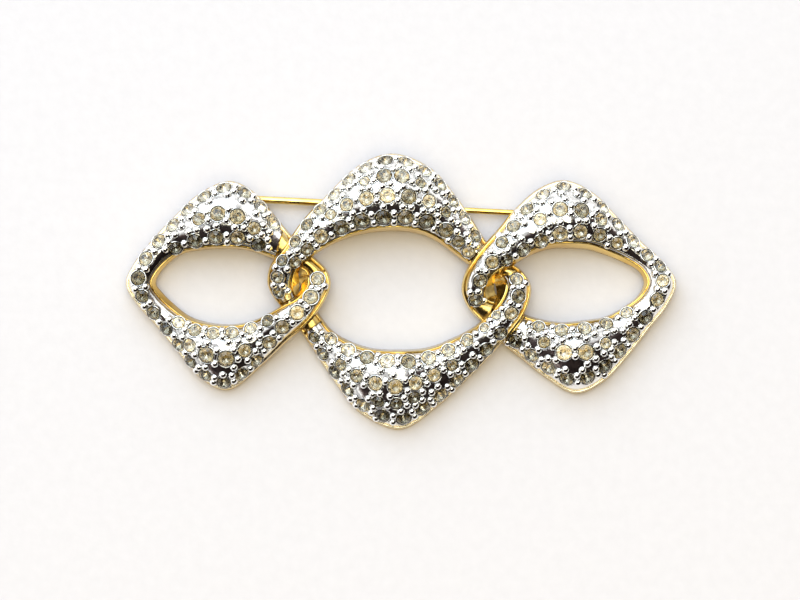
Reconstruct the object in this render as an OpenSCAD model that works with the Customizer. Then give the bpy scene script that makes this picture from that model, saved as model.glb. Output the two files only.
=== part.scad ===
// Brooch of three interlocked open links with a domed, stone-set front,
// a gold-coloured body and a hinged pin across the back.
// X runs along the brooch, Y up the front as worn, Z out of the front.
// It lies face up: the two fittings of the pin and the foot of the middle
// link touch the surface at Z = 0.

/* [Links] */
// Height of the plain stretch of a link, in its middle, where another link lies over it
plain_top = 1.7; // [1.4:0.1:1.7]
// Height of the plain stretch along its edges
plain_rim = 1.3; // [1.0:0.1:1.4]
// Height of the front dome as a share of the band's width
dome_share = 0.25; // [0.1:0.01:0.3]
// How full the dome is, from a pointed arch at 1 to a box at 0
dome_power = 0.7; // [0.5:0.05:1]
// Extra height of the inner rim for each mm that the band is wider than an arm
inner_rise = 0.3; // [0:0.02:0.35]
// Width of a link's arm, up to which the inner rim isn't raised
arm_w = 3.2; // [2.5:0.1:4]
// Width of the gold rim along each edge of the front
rim_w = 0.25; // [0.15:0.05:0.4]
// How far the outer wall leans in from its foot to its rim
outer_lean = 0.2; // [0.1:0.05:0.4]

/* [Stones] */
// Table width as a share of the stone's width
table_share = 0.56; // [0.4:0.02:0.7]
// Crown height as a share of the stone's width
crown_share = 0.18; // [0.1:0.02:0.3]
// Pavilion depth as a share of the stone's width
pavilion_share = 0.4; // [0.3:0.02:0.5]
// How far a stone's girdle stands above the dome
girdle_proud = 0.05; // [0:0.01:0.2]
// Clearance between a stone and its seat
seat_gap = 0.07; // [0.05:0.01:0.12]
// Nearest that a stone's centre comes to the edge of the front
edge_keep = 0.7; // [0.5:0.02:0.9]
// How much nearer to upright a stone stands than the front under it
seat_ease = 0.25; // [0:0.05:0.4]

/* [Pin] */
// Radius of the pin stem near the hinge
stem_r = 0.48; // [0.4:0.02:0.5]
// Radius of the pin stem where cloth is pinned
tip_r = 0.38; // [0.3:0.02:0.4]
// Distance from the hinge rivet to the point of the pin
stem_l = 46.5; // [45.5:0.5:47.5]
// Depth of the pin's centre line below the links' backs
stem_drop = 1.3; // [1.2:0.05:1.5]
// Angle by which the hinge is canted, so that the stem leaves the hook sideways
cant = 25; // [22:1:30]
// Angle by which the pin is swung open; 0 is closed
pin_angle = 0; // [0:1:75]

/* [Hidden] */

steps = 4;          // rings of a link for each section in its table
dome_steps = 6;     // strips across the dome
sides = 8;          // sides of a stone's girdle
gold = [0.83, 0.62, 0.24];
crystal = [0.80, 0.80, 0.72];

// A link is a closed band, given by sections in clockwise order from its top.
// Columns: x and y of the outer foot, x and y of the inner foot, how far the
// inner wall leans back from its foot, height of the back, height of the outer rim.
LEFT = [
    [-22.5, 13.9, -22.3, 5.0, 0.25, 0.0, 1.0],
    [-19.2, 12.4, -20.2, 4.8, 0.25, 0.0, 1.0],
    [-16.8, 9.7, -18.2, 4.2, 0.3, 0.0, 1.1],
    [-14.8, 7.3, -16.5, 3.5, 0.3, 0.0, 1.2],
    [-12.8, 5.2, -14.7, 2.6, 0.4, 0.0, 1.2],
    [-10.9, 3.5, -13.3, 1.8, 0.7, 0.0, 1.3],
    [-9.55, 2.0, -13.5, 1.0, 1.3, 0.3, 1.7],
    [-9.2, 0.1, -13.0, 0.0, 0.7, 1.3, 2.4],
    [-10.1, -2.1, -14.0, -1.3, 0.6, 2.0, 3.0],
    [-12.0, -4.7, -15.3, -2.2, 0.25, 2.1, 3.1],
    [-14.9, -7.2, -17.4, -3.5, 0.15, 1.6, 2.7],
    [-18.2, -10.3, -19.8, -4.5, 0.2, 0.2, 1.5],
    [-22.5, -13.5, -22.5, -4.9, 0.2, 0.0, 1.0],
    [-26.3, -12.0, -25.3, -4.6, 0.3, 0.0, 1.0],
    [-29.3, -8.5, -27.7, -3.8, 0.4, 0.0, 1.0],
    [-32.2, -5.0, -29.8, -2.2, 0.5, 0.0, 1.0],
    [-34.8, -2.1, -31.3, -0.7, 0.55, 0.0, 1.2],
    [-36.1, 0.4, -32.1, 0.5, 0.45, 0.0, 1.3],
    [-35.1, 3.0, -31.5, 1.95, 0.35, 0.0, 1.2],
    [-32.9, 5.9, -30.2, 3.3, 0.3, 0.0, 1.1],
    [-30.0, 9.0, -28.4, 4.4, 0.25, 0.0, 1.0],
    [-26.4, 12.3, -25.4, 4.9, 0.25, 0.0, 1.0]
];
CENTER = [
    [-1.0, 17.5, -1.2, 7.3, 0.45, 0.0, 1.0],
    [3.9, 15.6, 2.1, 7.0, 0.45, 0.0, 1.0],
    [7.3, 11.8, 4.6, 6.0, 0.4, 0.0, 1.0],
    [9.5, 8.6, 6.7, 4.5, 0.3, 0.0, 1.1],
    [11.5, 5.6, 8.7, 3.0, 0.3, 0.0, 1.2],
    [13.7, 3.6, 10.9, 1.5, 0.4, 0.0, 1.2],
    [15.8, 2.2, 11.9, 0.9, 1.3, 0.2, 1.6],
    [17.0, 0.0, 12.35, 0.2, 1.25, 1.3, 2.4],
    [16.4, -2.9, 12.4, -1.3, 0.7, 2.0, 3.0],
    [14.8, -5.4, 11.4, -3.3, 0.3, 2.1, 3.1],
    [12.4, -8.2, 9.6, -5.1, 0.2, 1.8, 2.8],
    [9.0, -11.8, 6.7, -6.7, 0.25, 0.2, 1.5],
    [4.8, -15.7, 3.5, -7.9, 0.25, 0.0, 1.0],
    [-0.1, -18.7, -0.1, -8.2, 0.2, 0.0, 1.0],
    [-5.4, -16.5, -3.8, -8.0, 0.2, 0.0, 1.0],
    [-8.9, -12.2, -7.1, -6.9, 0.3, 0.0, 1.0],
    [-11.4, -8.4, -9.3, -5.4, 0.25, 0.0, 1.1],
    [-13.5, -5.4, -11.1, -3.1, 0.25, 0.0, 1.2],
    [-15.8, -2.7, -13.2, -1.4, 0.3, 0.0, 1.3],
    [-17.4, 0.1, -13.3, 0.3, 0.8, 0.9, 2.0],
    [-17.1, 2.7, -13.3, 2.0, 0.45, 1.95, 2.9],
    [-15.3, 5.1, -12.6, 3.1, 0.2, 2.1, 3.1],
    [-13.0, 8.5, -10.3, 4.8, 0.2, 1.8, 2.8],
    [-9.8, 12.0, -7.7, 6.1, 0.25, 0.2, 1.5],
    [-5.6, 15.9, -4.6, 7.0, 0.35, 0.0, 1.0]
];
RIGHT = [
    [21.6, 14.0, 21.6, 5.05, 0.6, 0.0, 1.0],
    [25.3, 12.3, 24.5, 4.85, 0.65, 0.0, 1.0],
    [28.4, 9.2, 27.0, 4.1, 0.55, 0.0, 1.0],
    [31.5, 6.0, 29.2, 3.2, 0.5, 0.0, 1.1],
    [34.4, 3.3, 31.1, 2.1, 0.4, 0.0, 1.2],
    [36.1, 0.6, 31.8, 0.5, 0.35, 0.0, 1.3],
    [35.0, -2.4, 30.9, -1.3, 0.15, 0.0, 1.2],
    [32.6, -5.5, 28.9, -2.8, 0.1, 0.0, 1.1],
    [29.7, -9.2, 26.7, -3.9, 0.15, 0.0, 1.0],
    [26.6, -12.4, 24.3, -4.3, 0.2, 0.0, 1.0],
    [22.8, -14.0, 21.3, -4.6, 0.2, 0.0, 1.0],
    [18.8, -11.8, 18.8, -4.3, 0.25, 0.0, 1.0],
    [15.6, -9.3, 16.6, -3.7, 0.3, 0.0, 1.1],
    [13.1, -7.3, 14.7, -2.8, 0.3, 0.0, 1.2],
    [10.9, -5.0, 13.2, -1.8, 0.4, 0.0, 1.2],
    [8.9, -2.9, 12.4, -0.9, 1.3, 0.3, 1.5],
    [7.9, -0.5, 12.15, 0.3, 1.05, 1.5, 2.5],
    [8.4, 2.0, 12.5, 1.4, 0.6, 2.05, 3.0],
    [10.2, 4.8, 13.9, 2.3, 0.5, 2.1, 3.1],
    [12.6, 7.5, 16.1, 3.7, 0.4, 1.8, 2.8],
    [15.3, 10.6, 18.2, 4.6, 0.55, 0.2, 1.5],
    [18.2, 13.0, 19.9, 5.0, 0.55, 0.0, 1.0]
];

// The plain stretch of each link that passes under its neighbours: where along
// the table it begins and ends.
LEFT_PLAIN = [[2.85, 5.8]];
CENTER_PLAIN = [[3.9, 6.0], [16.6, 18.15]];
RIGHT_PLAIN = [[12.3, 15.0]];

// Rows of stones along a link. Columns: how far across the front the row lies at its
// start, middle and end (0 is the outer edge, 1 the inner edge), where along the
// table it starts and ends, number of stones, stone width at the middle and the ends.
LEFT_ROWS = [
    [0.45, 0.09, 0.15, 17.34, 24.2, 10, 1.85, 1.85],
    [0.45, 0.50, 0.59, 20.9, 23.3, 4, 2.0, 1.65],
    [0.84, 0.85, 0.86, 19.72, 23.68, 5, 1.9, 1.7],
    [0.50, 0.52, 0.30, 6.38, 10.5, 5, 1.85, 1.7],
    [0.15, 0.13, 0.40, 11.1, 16.16, 9, 1.75, 1.6],
    [0.86, 0.88, 0.74, 10.16, 14.32, 6, 1.65, 1.55],
    [0.49, 0.48, 0.43, 11.38, 13.58, 4, 2.1, 1.7]
];
CENTER_ROWS = [
    [0.19, 0.06, 0.10, 21.44, 28.4, 13, 1.85, 1.5],
    [0.29, 0.29, 0.29, 24.74, 25.26, 2, 1.95, 1.95],
    [0.27, 0.28, 0.29, 24.14, 25.8, 2, 1.3, 1.3],
    [0.41, 0.40, 0.42, 22.94, 26.88, 2, 1.35, 1.35],
    [0.46, 0.57, 0.49, 23.5, 26.18, 5, 1.95, 1.7],
    [0.71, 0.87, 0.74, 22.3, 27.2, 7, 2.0, 1.85],
    [0.86, 0.80, 0.74, 20.72, 21.56, 2, 1.5, 1.5],
    [0.72, 0.72, 0.73, 27.95, 28.6, 2, 1.5, 1.5],
    [0.48, 0.43, 0.40, 6.5, 8.5, 3, 1.7, 1.6],
    [0.86, 0.84, 0.83, 8.92, 9.76, 2, 1.1, 1.1],
    [0.25, 0.13, 0.18, 9.48, 15.68, 12, 1.9, 1.6],
    [0.81, 0.87, 0.83, 10.56, 15.7, 8, 1.85, 1.6],
    [0.50, 0.55, 0.44, 11.34, 14.92, 7, 1.9, 1.4],
    [0.36, 0.33, 0.29, 12.6, 13.58, 3, 1.5, 1.5],
    [0.20, 0.30, 0.40, 16.15, 16.45, 1, 1.3, 1.3],
    [0.30, 0.38, 0.29, 18.62, 20.46, 3, 1.6, 1.45]
];
RIGHT_ROWS = [
    [0.42, 0.66, 0.30, 15.26, 18.76, 4, 1.7, 1.6],
    [0.22, 0.07, 0.10, 19.48, 24.76, 8, 1.7, 1.7],
    [0.27, 0.20, 0.47, 25.46, 26.88, 3, 1.55, 1.6],
    [0.42, 0.19, 0.25, 27.9, 34.4, 10, 1.85, 1.7],
    [0.49, 0.44, 0.40, 20.6, 23.36, 4, 1.95, 1.6],
    [0.90, 0.86, 0.66, 18.32, 24.24, 7, 1.9, 1.5],
    [0.84, 0.90, 0.88, 29.06, 33.36, 5, 1.7, 1.5],
    [0.55, 0.56, 0.61, 30.56, 33.08, 4, 2.1, 1.45]
];

// Where the pin lies on the back: its rivet, and the direction in which it runs.
hinge_x = -23.6;
hinge_y = 11.8;
stem_slope = -3;
catch_at = 42.5;    // distance from the rivet to the hook
rivet_r = 0.35;
rivet_gap = 0.06;   // radial clearance of the rivet in the knuckle
knuckle_w = 1.0;
ear_w = 0.5;
ear_gap = 0.1;
ear_at = knuckle_w / 2 + ear_gap;
thick_l = 14;       // stem's lengths: thick, tapering, and even as far as the hook
taper_l = 6;
even_l = 20.5;
point_l = 3;
slim_r = 0.34;      // where the point begins
point_r = 0.06;
hook_r = tip_r + 0.2;
hook_wall = 0.5;
hook_w = 2.0;
hook_end = -60;     // angle at which the hook's lip ends
plate_t = 0.5;      // solder plates under the hinge and the catch
sink = 0.3;         // how deep the plates are let into the backs
hinge_plate = [[-1.2, -1.7], [2.9, 2.8]];    // a plate's corner, from the stem's line, and its size
catch_plate = [[-1.5, -1.3], [3.0, 2.8]];
ear_step = 0.4;     // by how much one ear is taller and the other lower, as the hinge is canted

// The brooch's lean as it lies on the lip of its hook and the foot of the middle link,
// how far it then has to be raised, and the radius at which the hinge just touches too.
foot_y = CENTER[13][1];
top_y = CENTER[0][1];
lip_y = hinge_y + catch_at * sin(stem_slope) + (hook_r + hook_wall) * cos(hook_end);
lip_low = stem_drop - (hook_r + hook_wall) * sin(hook_end);
lean = atan(lip_low / (lip_y - foot_y));
lift = -foot_y * sin(lean);
hinge_high = lift + hinge_y * sin(lean) - stem_drop * cos(lean);
hinge_r = (hinge_high - (ear_at + ear_w) * sin(cant - lean)) / cos(cant - lean);

// Value between four neighbours in a table, on a smooth curve through them.
function blend(a, b, c, d, t) = 0.5 * (2 * b + (c - a) * t
    + (2 * a - 5 * b + 4 * c - d) * t * t + (3 * b - a - 3 * c + d) * t * t * t);
function entry(table, i) = table[i - len(table) * floor(i / len(table))];
function section(table, s) = let (i = floor(s))
    blend(entry(table, i - 1), entry(table, i), entry(table, i + 1), entry(table, i + 2), s - i);

// Direction across the band, and width of a section.
function across(q) = let (d = [q[2] - q[0], q[3] - q[1]]) d / norm(d);
function width(q) = norm([q[2] - q[0], q[3] - q[1]]);

// Height of the set front, and of a plain stretch, at a distance from the outer foot.
function first_edge() = outer_lean + rim_w;
function last_edge(q) = width(q) - q[4] - rim_w;
function share(q, off) =
    min(max((off - first_edge()) / (last_edge(q) - first_edge()), 0), 1);
function arch(t) = pow(4 * t * (1 - t), dome_power);
function front(q, off) = q[6] + inner_rise * max(width(q) - arm_w, 0) * share(q, off)
    + dome_share * width(q) * arch(share(q, off));
function plain_front(q, off) = plain_rim + (plain_top - plain_rim) * arch(share(q, off));
function height(q, off, plain) = plain ? plain_front(q, off) : front(q, off);
function point(q, off, z) = [q[0] + across(q)[0] * off, q[1] + across(q)[1] * off, z];

// The outline of one section of a link, from its outer foot over the front to its inner foot.
function ring(q, plain) =
    let (w = width(q), a = first_edge(), b = last_edge(q), foot = max(q[5], 0),
        dome = [for (k = [0 : dome_steps]) a + (b - a) * k / dome_steps],
        top = [for (off = concat([outer_lean], dome, [w - q[4]])) [off, height(q, off, plain)]])
    [for (p = concat([[0, foot]], top, [[w, foot]])) point(q, p[0], p[1])];

function is_plain(stretches, s) =
    len([for (p = stretches) if (s >= p[0] && s <= p[1]) 1]) > 0;

// Places along a link at which it has a ring, with two close together at each step
// between the set front and a plain stretch.
function places(table, stretches) =
    let (e = 0.03, n = len(table) * steps, ends = [for (p = stretches) each p])
    [for (i = [0 : n - 1]) each concat(
        len([for (x = ends) if (abs(x - i / steps) < 0.1) 1]) > 0 ? [] : [i / steps],
        [for (x = ends) if (x >= (i - 0.4) / steps && x < (i + 0.6) / steps)
            each [x - e, x + e]])];

module loft(table, stretches) {
    s = places(table, stretches);
    rings = [for (x = s) ring(section(table, x), is_plain(stretches, x))];
    n = len(rings);
    m = len(rings[0]);
    faces = [for (i = [0 : n - 1], j = [0 : m - 1])
        let (here = i * m, next = ((i + 1) % n) * m, k = (j + 1) % m)
            each [[here + j, next + k, here + k], [here + j, next + j, next + k]]];
    polyhedron(points = [for (r = rings) each r], faces = faces, convexity = 10);
}

// Point on the front at a place along the table and a share of the way across.
function spot(table, s, v) =
    let (q = section(table, s), b = width(q) - q[4], off = outer_lean + v * (b - outer_lean),
        kept = min(max(off, outer_lean + edge_keep), b - edge_keep))
    point(q, kept, front(q, kept));

// Value on the curve through a, b and c, which lie at 0, a half and 1.
function through(a, b, c, t) =
    a * (1 - 2 * t) * (1 - t) + b * 4 * t * (1 - t) + c * t * (2 * t - 1);

// Place along the table, share across, and stone width, at a share t of a row.
function on_row(r, t) = [r[3] + (r[4] - r[3]) * t, through(r[0], r[1], r[2], t),
    r[6] + (r[7] - r[6]) * pow(2 * t - 1, 2)];

// The stones of a row, spaced evenly along its length, which is measured in short steps.
function row_stones(table, r) =
    let (n = r[5], m = 40,
        at = [for (k = [0 : m]) on_row(r, k / m)],
        line = [for (p = at) spot(table, p[0], p[1])],
        run = [for (k = 0, l = 0; k <= m;
            l = l + (k < m ? norm(line[k + 1] - line[k]) : 0), k = k + 1) [l, k / m]],
        total = run[m][0])
    [for (i = [0 : n - 1]) on_row(r, n == 1 ? 0.5 : lookup(total * i / (n - 1), run))];
function stones(table, rows) = [for (r = rows) each row_stones(table, r)];

// Seat of a stone: its middle on the front, and three unit vectors, the last straight out.
function unit(v) = v / norm(v);
function seat(table, st) =
    let (e = 0.02, p = spot(table, st[0], st[1]),
        u = unit(spot(table, st[0] + e, st[1]) - spot(table, st[0] - e, st[1])),
        q = section(table, st[0]), d = across(q),
        off = (p - [q[0], q[1], 0]) * [d[0], d[1], 0],
        rise = front(q, off + e) - front(q, off - e),
        slope = unit(cross([d[0] * 2 * e, d[1] * 2 * e, rise], u)),
        n = unit(slope + [0, 0, seat_ease]),
        a = unit(u - n * (u * n)))
    [p, a, cross(n, a), n];

// A point of a stone in its seat f: angle, distance from the axis, and height.
function stone_point(f, angle, r, z) =
    f[0] + f[1] * r * cos(angle) + f[2] * r * sin(angle) + f[3] * (girdle_proud + z);

// Points of one cut stone: table, girdle and the point of the pavilion.
function stone_points(f, d) = concat(
    [for (k = [0 : sides - 1])
        stone_point(f, 360 * (k + 0.5) / sides, d / 2 * table_share, crown_share * d)],
    [for (k = [0 : sides - 1]) stone_point(f, 360 * k / sides, d / 2, 0)],
    [stone_point(f, 0, 0, -pavilion_share * d)]);

// Faces of the stone whose first point is o: table, then crown and pavilion around it.
function stone_faces(o) = concat(
    [[for (k = [sides - 1 : -1 : 0]) o + k]],
    [for (k = [0 : sides - 1])
        let (g = o + sides + k, h = o + sides + (k + 1) % sides,
            t = o + k, p = o + (k + sides - 1) % sides)
        each [[g, t, h], [g, p, t], [g, h, o + 2 * sides]]]);

module stone_field(table, rows) {
    list = stones(table, rows);
    points = [for (st = list) each stone_points(seat(table, st), st[2])];
    faces = [for (i = [0 : len(list) - 1]) each stone_faces(i * (2 * sides + 1))];
    polyhedron(points = points, faces = faces, convexity = 10);
}

// Drilled seats of the stones.
module seats(table, rows) {
    for (st = stones(table, rows)) {
        f = seat(table, st);
        depth = pavilion_share * st[2] + seat_gap;
        above = 0.6;
        multmatrix([
            [f[1][0], f[2][0], f[3][0], f[0][0]],
            [f[1][1], f[2][1], f[3][1], f[0][1]],
            [f[1][2], f[2][2], f[3][2], f[0][2]]])
            translate([0, 0, -depth])
                cylinder(h = depth + above, r = st[2] / 2 + seat_gap, $fn = sides);
    }
}

// Places children that are drawn flat on the back into the brooch as it lies.
module lying() {
    translate([0, -(foot_y + top_y) / 2 * cos(lean), lift]) rotate([lean, 0, 0]) children();
}

// Places children at the hinge: X along the closed stem, Y along the rivet.
module at_hinge() {
    translate([hinge_x, hinge_y, -stem_drop]) rotate([0, 0, stem_slope])
        rotate([-cant, 0, 0]) children();
}

module set_link(table, stretches, rows) {
    difference() {
        loft(table, stretches);
        seats(table, rows);
    }
}

// A solder plate, let into the back of a link at Z = 0.
module plate(p) {
    translate([p[0][0], p[0][1], -plate_t]) cube([p[1][0], p[1][1], plate_t + sink]);
}

module hinge() {
    at_hinge() {
        for (side = [-1, 1])
            translate([0, side * (ear_at + ear_w / 2), 0]) {
                rotate([90, 0, 0]) cylinder(h = ear_w, r = hinge_r, center = true, $fn = 48);
                translate([-hinge_r, -ear_w / 2, 0])
                    cube([2 * hinge_r, ear_w, stem_drop - side * ear_step]);
            }
        rotate([90, 0, 0]) cylinder(h = 2 * (ear_at + ear_w), r = rivet_r, center = true, $fn = 32);
    }
    difference() {
        translate([hinge_x, hinge_y, 0]) rotate([0, 0, stem_slope]) plate(hinge_plate);
        at_hinge() rotate([90, 0, 0])
            cylinder(h = 2 * ear_at, r = hinge_r + ear_gap, center = true, $fn = 48);
    }
}

module catch() {
    far = 3;
    root = 100;
    translate([hinge_x, hinge_y, -stem_drop]) rotate([0, 0, stem_slope]) translate([catch_at, 0, 0]) {
        rotate([90, 0, 90]) linear_extrude(hook_w, center = true) difference() {
            circle(r = hook_r + hook_wall, $fn = 64);
            circle(r = hook_r, $fn = 64);
            polygon([[0, 0], far * [cos(hook_end), sin(hook_end)],
                [-far, -far], [-far, far], far * [cos(root), sin(root)]]);
        }
        translate([0, 0, stem_drop]) plate(catch_plate);
    }
}

module link_left() {
    color(gold) lying() union() {
        set_link(LEFT, LEFT_PLAIN, LEFT_ROWS);
        hinge();
    }
}

module link_center() {
    color(gold) lying() set_link(CENTER, CENTER_PLAIN, CENTER_ROWS);
}

module link_right() {
    color(gold) lying() union() {
        set_link(RIGHT, RIGHT_PLAIN, RIGHT_ROWS);
        catch();
    }
}

module stones_left() {
    color(crystal) lying() stone_field(LEFT, LEFT_ROWS);
}

module stones_center() {
    color(crystal) lying() stone_field(CENTER, CENTER_ROWS);
}

module stones_right() {
    color(crystal) lying() stone_field(RIGHT, RIGHT_ROWS);
}

// A length of round wire along X from a start, with a radius at each end.
module wire(start, length, r1, r2) {
    translate([start, 0, 0]) rotate([0, 90, 0]) cylinder(h = length, r1 = r1, r2 = r2, $fn = 32);
}

module pin_stem() {
    slim_at = thick_l + taper_l + even_l;
    color(gold) lying() at_hinge() rotate([0, pin_angle, 0]) difference() {
        union() {
            rotate([90, 0, 0]) cylinder(h = knuckle_w, r = hinge_r, center = true, $fn = 48);
            wire(0, thick_l, stem_r, stem_r);
            wire(thick_l, taper_l, stem_r, tip_r);
            wire(thick_l + taper_l, even_l, tip_r, tip_r);
            wire(slim_at, stem_l - point_l - slim_at, tip_r, slim_r);
            wire(stem_l - point_l, point_l, slim_r, point_r);
        }
        rotate([90, 0, 0])
            cylinder(h = knuckle_w + 1, r = rivet_r + rivet_gap, center = true, $fn = 32);
    }
}

link_left();
link_center();
link_right();
stones_left();
stones_center();
stones_right();
pin_stem();
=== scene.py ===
import math

import bmesh
import bpy
import numpy as np
from mathutils import Matrix


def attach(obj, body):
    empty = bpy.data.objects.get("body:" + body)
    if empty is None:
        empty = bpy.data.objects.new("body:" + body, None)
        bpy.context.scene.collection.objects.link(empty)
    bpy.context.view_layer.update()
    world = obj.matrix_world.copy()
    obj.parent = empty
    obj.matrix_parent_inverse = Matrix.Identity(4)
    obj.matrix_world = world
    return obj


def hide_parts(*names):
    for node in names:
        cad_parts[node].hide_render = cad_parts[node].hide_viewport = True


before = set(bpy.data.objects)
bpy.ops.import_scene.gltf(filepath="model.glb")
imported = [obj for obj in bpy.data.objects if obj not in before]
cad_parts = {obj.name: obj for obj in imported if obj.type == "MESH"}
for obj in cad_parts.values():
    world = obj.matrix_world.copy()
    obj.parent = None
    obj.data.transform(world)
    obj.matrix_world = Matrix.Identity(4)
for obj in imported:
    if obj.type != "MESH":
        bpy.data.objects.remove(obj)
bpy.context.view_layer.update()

# The brooch's looks: its links with a bead-set front, the cut stones, the hinge, the hook
# and the pin. Shapes are worked out in millimetres in the brooch's own frame, with the
# backs of the links at z = 0, and laid() takes them to where the part lies, in metres.

MM = 0.001
BODY = "brooch"

# The sizes and tables from here to LEAN_MOVE are those of the solids.
DOME_SHARE = 0.25     # height of the front's dome, as a share of the band's width
DOME_POWER = 0.7      # how full the dome is: less is fuller
INNER_RISE = 0.3      # rise of the front towards the inner rim, for each mm of width
ARM_W = 3.2           # that the band has over this
RIM_W = 0.25          # width of a rim
OUTER_LEAN = 0.2      # how far in from its foot the outer wall ends
PLAIN_TOP, PLAIN_RIM = 1.7, 1.3    # height of a plain stretch in the middle and at its rims
EDGE_KEEP = 0.7       # least distance of a stone's centre from the walls
SEAT_EASE = 0.25      # how much a stone's axis is turned up from the front's own
# Width of a stone's table and heights of its crown and pavilion, as shares of its own width.
TABLE_SHARE, CROWN_SHARE, PAVILION_SHARE = 0.56, 0.18, 0.4
GIRDLE_PROUD = 0.05   # height of a stone's girdle over the front

# Sections of each link in clockwise order from its top: x and y of the outer foot, x and y
# of the inner foot, lean of the inner wall, height of the back, height of the outer rim.
LEFT = [
    [-22.5, 13.9, -22.3, 5.0, 0.25, 0.0, 1.0],
    [-19.2, 12.4, -20.2, 4.8, 0.25, 0.0, 1.0],
    [-16.8, 9.7, -18.2, 4.2, 0.3, 0.0, 1.1],
    [-14.8, 7.3, -16.5, 3.5, 0.3, 0.0, 1.2],
    [-12.8, 5.2, -14.7, 2.6, 0.4, 0.0, 1.2],
    [-10.9, 3.5, -13.3, 1.8, 0.7, 0.0, 1.3],
    [-9.55, 2.0, -13.5, 1.0, 1.3, 0.3, 1.7],
    [-9.2, 0.1, -13.0, 0.0, 0.7, 1.3, 2.4],
    [-10.1, -2.1, -14.0, -1.3, 0.6, 2.0, 3.0],
    [-12.0, -4.7, -15.3, -2.2, 0.25, 2.1, 3.1],
    [-14.9, -7.2, -17.4, -3.5, 0.15, 1.6, 2.7],
    [-18.2, -10.3, -19.8, -4.5, 0.2, 0.2, 1.5],
    [-22.5, -13.5, -22.5, -4.9, 0.2, 0.0, 1.0],
    [-26.3, -12.0, -25.3, -4.6, 0.3, 0.0, 1.0],
    [-29.3, -8.5, -27.7, -3.8, 0.4, 0.0, 1.0],
    [-32.2, -5.0, -29.8, -2.2, 0.5, 0.0, 1.0],
    [-34.8, -2.1, -31.3, -0.7, 0.55, 0.0, 1.2],
    [-36.1, 0.4, -32.1, 0.5, 0.45, 0.0, 1.3],
    [-35.1, 3.0, -31.5, 1.95, 0.35, 0.0, 1.2],
    [-32.9, 5.9, -30.2, 3.3, 0.3, 0.0, 1.1],
    [-30.0, 9.0, -28.4, 4.4, 0.25, 0.0, 1.0],
    [-26.4, 12.3, -25.4, 4.9, 0.25, 0.0, 1.0],
]
CENTER = [
    [-1.0, 17.5, -1.2, 7.3, 0.45, 0.0, 1.0],
    [3.9, 15.6, 2.1, 7.0, 0.45, 0.0, 1.0],
    [7.3, 11.8, 4.6, 6.0, 0.4, 0.0, 1.0],
    [9.5, 8.6, 6.7, 4.5, 0.3, 0.0, 1.1],
    [11.5, 5.6, 8.7, 3.0, 0.3, 0.0, 1.2],
    [13.7, 3.6, 10.9, 1.5, 0.4, 0.0, 1.2],
    [15.8, 2.2, 11.9, 0.9, 1.3, 0.2, 1.6],
    [17.0, 0.0, 12.35, 0.2, 1.25, 1.3, 2.4],
    [16.4, -2.9, 12.4, -1.3, 0.7, 2.0, 3.0],
    [14.8, -5.4, 11.4, -3.3, 0.3, 2.1, 3.1],
    [12.4, -8.2, 9.6, -5.1, 0.2, 1.8, 2.8],
    [9.0, -11.8, 6.7, -6.7, 0.25, 0.2, 1.5],
    [4.8, -15.7, 3.5, -7.9, 0.25, 0.0, 1.0],
    [-0.1, -18.7, -0.1, -8.2, 0.2, 0.0, 1.0],
    [-5.4, -16.5, -3.8, -8.0, 0.2, 0.0, 1.0],
    [-8.9, -12.2, -7.1, -6.9, 0.3, 0.0, 1.0],
    [-11.4, -8.4, -9.3, -5.4, 0.25, 0.0, 1.1],
    [-13.5, -5.4, -11.1, -3.1, 0.25, 0.0, 1.2],
    [-15.8, -2.7, -13.2, -1.4, 0.3, 0.0, 1.3],
    [-17.4, 0.1, -13.3, 0.3, 0.8, 0.9, 2.0],
    [-17.1, 2.7, -13.3, 2.0, 0.45, 1.95, 2.9],
    [-15.3, 5.1, -12.6, 3.1, 0.2, 2.1, 3.1],
    [-13.0, 8.5, -10.3, 4.8, 0.2, 1.8, 2.8],
    [-9.8, 12.0, -7.7, 6.1, 0.25, 0.2, 1.5],
    [-5.6, 15.9, -4.6, 7.0, 0.35, 0.0, 1.0],
]
RIGHT = [
    [21.6, 14.0, 21.6, 5.05, 0.6, 0.0, 1.0],
    [25.3, 12.3, 24.5, 4.85, 0.65, 0.0, 1.0],
    [28.4, 9.2, 27.0, 4.1, 0.55, 0.0, 1.0],
    [31.5, 6.0, 29.2, 3.2, 0.5, 0.0, 1.1],
    [34.4, 3.3, 31.1, 2.1, 0.4, 0.0, 1.2],
    [36.1, 0.6, 31.8, 0.5, 0.35, 0.0, 1.3],
    [35.0, -2.4, 30.9, -1.3, 0.15, 0.0, 1.2],
    [32.6, -5.5, 28.9, -2.8, 0.1, 0.0, 1.1],
    [29.7, -9.2, 26.7, -3.9, 0.15, 0.0, 1.0],
    [26.6, -12.4, 24.3, -4.3, 0.2, 0.0, 1.0],
    [22.8, -14.0, 21.3, -4.6, 0.2, 0.0, 1.0],
    [18.8, -11.8, 18.8, -4.3, 0.25, 0.0, 1.0],
    [15.6, -9.3, 16.6, -3.7, 0.3, 0.0, 1.1],
    [13.1, -7.3, 14.7, -2.8, 0.3, 0.0, 1.2],
    [10.9, -5.0, 13.2, -1.8, 0.4, 0.0, 1.2],
    [8.9, -2.9, 12.4, -0.9, 1.3, 0.3, 1.5],
    [7.9, -0.5, 12.15, 0.3, 1.05, 1.5, 2.5],
    [8.4, 2.0, 12.5, 1.4, 0.6, 2.05, 3.0],
    [10.2, 4.8, 13.9, 2.3, 0.5, 2.1, 3.1],
    [12.6, 7.5, 16.1, 3.7, 0.4, 1.8, 2.8],
    [15.3, 10.6, 18.2, 4.6, 0.55, 0.2, 1.5],
    [18.2, 13.0, 19.9, 5.0, 0.55, 0.0, 1.0],
]

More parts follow.
